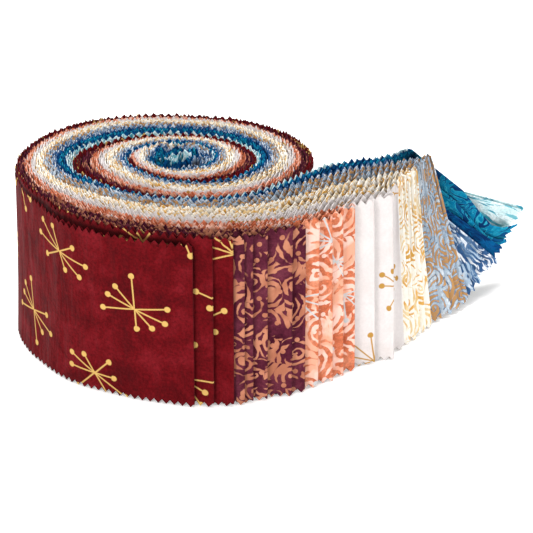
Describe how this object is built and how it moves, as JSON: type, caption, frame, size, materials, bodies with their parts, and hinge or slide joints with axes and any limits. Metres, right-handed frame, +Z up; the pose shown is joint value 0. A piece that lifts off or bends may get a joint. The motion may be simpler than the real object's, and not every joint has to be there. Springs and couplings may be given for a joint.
{
  "type": "roll of quilting fabric strips",
  "caption": "Stack of pinked quilting cotton strips wound into a roll that stands on edge, its loose ends in a curved tail that opens into a fan.",
  "frame": {"origin": "eye of the winding, on the underside that the roll stands on", "axes": "+Z up along the winding's axis, +X towards the side where the loose ends fan out, -Y towards the front where the tail leaves the roll"},
  "size_m": [0.1881, 0.1124, 0.0647],
  "materials": {
    "burgundy": "printed quilting cotton, matt, pinked long edges",
    "plum": "printed quilting cotton, matt, pinked long edges",
    "orange": "printed quilting cotton, matt, pinked long edges",
    "white": "printed quilting cotton, matt, pinked long edges",
    "cream": "printed quilting cotton, matt, pinked long edges",
    "blue_tan": "printed quilting cotton, matt, pinked long edges",
    "slate": "printed quilting cotton, matt, pinked long edges",
    "blue": "printed quilting cotton, matt, pinked long edges",
    "teal": "printed quilting cotton, matt, pinked long edges",
    "aqua": "printed quilting cotton, matt, pinked long edges"
  },
  "bodies": {
    "root": {"wound_roll": "burgundy", "burgundy_strip_1": "burgundy", "burgundy_strip_2": "burgundy", "burgundy_strip_3": "burgundy", "plum_strip_1": "plum", "plum_strip_2": "plum", "plum_strip_3": "plum", "orange_strip_1": "orange", "orange_strip_2": "orange", "orange_strip_3": "orange", "white_strip_1": "white", "white_strip_2": "white", "white_strip_3": "white", "cream_strip_1": "cream", "cream_strip_2": "cream", "blue_tan_strip_1": "blue_tan", "blue_tan_strip_2": "blue_tan", "slate_strip_1": "slate", "slate_strip_2": "slate", "blue_strip_1": "blue", "teal_strip_1": "teal", "aqua_strip_1": "aqua"}
  },
  "joints": []
}
